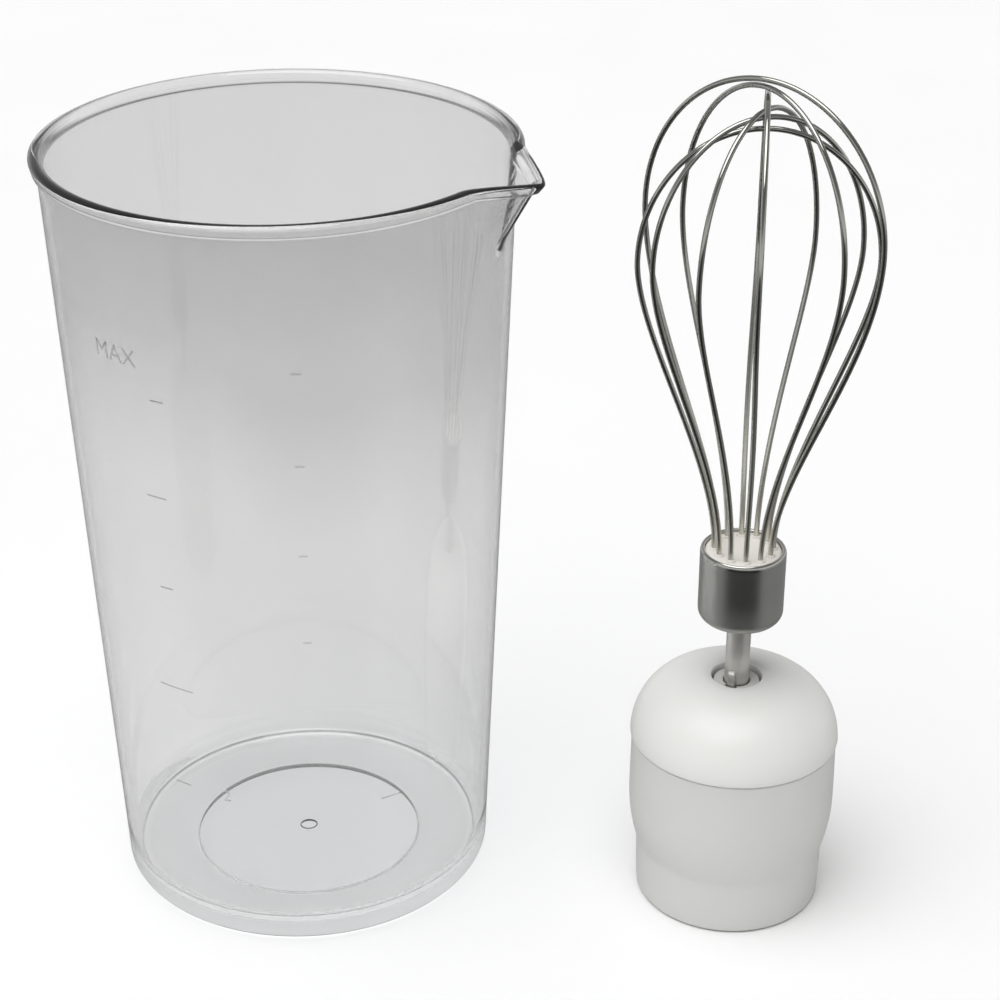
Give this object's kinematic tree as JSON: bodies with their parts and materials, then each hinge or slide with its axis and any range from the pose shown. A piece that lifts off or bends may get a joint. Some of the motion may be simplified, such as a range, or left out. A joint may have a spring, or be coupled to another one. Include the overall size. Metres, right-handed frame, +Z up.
{
  "type": "hand blender accessory set",
  "caption": "Clear tapered measuring beaker with a pouring spout, beside a balloon whisk attachment standing on its planetary gearbox.",
  "frame": {"origin": "on the table, in the middle of the set", "axes": "+X from the beaker to the whisk attachment, +Y away from a person who faces them, +Z up along both axes of revolution"},
  "size_m": [0.1949, 0.1136, 0.2142],
  "materials": {
    "clear_plastic": "clear, polished mould",
    "white_plastic": "satin moulded",
    "hub_plastic": "satin moulded",
    "grey_plastic": "matt moulded",
    "gear_plastic": "natural nylon",
    "seal_rubber": "matt black",
    "wire_steel": "polished stainless wire",
    "shaft_steel": "ground stainless",
    "ferrule_steel": "satin drawn stainless",
    "inner_steel": "plain zinc-plated",
    "bush_bronze": "sintered bronze"
  },
  "bodies": {
    "gearbox": {"lower_housing": "white_plastic", "upper_cover": "white_plastic", "cover_gasket": "seal_rubber", "gear_base_plate": "inner_steel", "ring_gear": "gear_plastic", "input_bush": "bush_bronze", "input_washer": "inner_steel", "output_bush": "bush_bronze", "output_seal": "seal_rubber", "carrier_washer": "inner_steel", "housing_screw_1": "inner_steel", "housing_screw_2": "inner_steel", "housing_screw_3": "inner_steel"},
    "beaker": {"beaker": "clear_plastic"},
    "input_drive": {"input_coupling": "grey_plastic", "sun_pinion": "shaft_steel"},
    "carrier": {"planet_carrier": "gear_plastic", "carrier_plate": "inner_steel", "planet_pin_1": "inner_steel", "planet_pin_2": "inner_steel", "planet_pin_3": "inner_steel", "output_socket": "grey_plastic", "shaft_clip": "inner_steel"},
    "planet_1": {"planet_gear_1": "gear_plastic"},
    "planet_2": {"planet_gear_2": "gear_plastic"},
    "planet_3": {"planet_gear_3": "gear_plastic"},
    "whisk": {"whisk_shaft": "shaft_steel", "ferrule": "ferrule_steel", "wire_hub": "hub_plastic", "wire_loop_1": "wire_steel", "wire_loop_2": "wire_steel", "wire_loop_3": "wire_steel", "wire_loop_4": "wire_steel", "wire_loop_5": "wire_steel", "wire_loop_6": "wire_steel"}
  },
  "joints": [
    {"name": "beaker_lift", "type": "slide", "parent": "gearbox", "child": "beaker", "axis": [0, 0, 1], "range_m": [0, 0.25]},
    {"name": "whisk_spin", "type": "hinge", "parent": "gearbox", "child": "carrier", "pos_m": [0.0693, -0.0208, 0.03], "axis": [0, 0, 1], "continuous": true},
    {"name": "input_spin", "type": "hinge", "parent": "gearbox", "child": "input_drive", "pos_m": [0.0693, -0.0208, 0.03], "axis": [0, 0, 1], "continuous": true},
    {"name": "planet_spin_1", "type": "hinge", "parent": "carrier", "child": "planet_1", "pos_m": [0.07875, -0.0208, 0.03], "axis": [0, 0, 1], "continuous": true},
    {"name": "planet_spin_2", "type": "hinge", "parent": "carrier", "child": "planet_2", "pos_m": [0.06457, -0.01262, 0.03], "axis": [0, 0, 1], "continuous": true},
    {"name": "planet_spin_3", "type": "hinge", "parent": "carrier", "child": "planet_3", "pos_m": [0.06457, -0.02898, 0.03], "axis": [0, 0, 1], "continuous": true},
    {"name": "whisk_release", "type": "slide", "parent": "carrier", "child": "whisk", "axis": [0, 0, 1], "range_m": [0, 0.04]}
  ],
  "couplings": [
    {"joint": "input_spin", "follows": "whisk_spin", "ratio": 6},
    {"joint": "planet_spin_1", "follows": "whisk_spin", "ratio": -2.5},
    {"joint": "planet_spin_2", "follows": "whisk_spin", "ratio": -2.5},
    {"joint": "planet_spin_3", "follows": "whisk_spin", "ratio": -2.5}
  ]
}
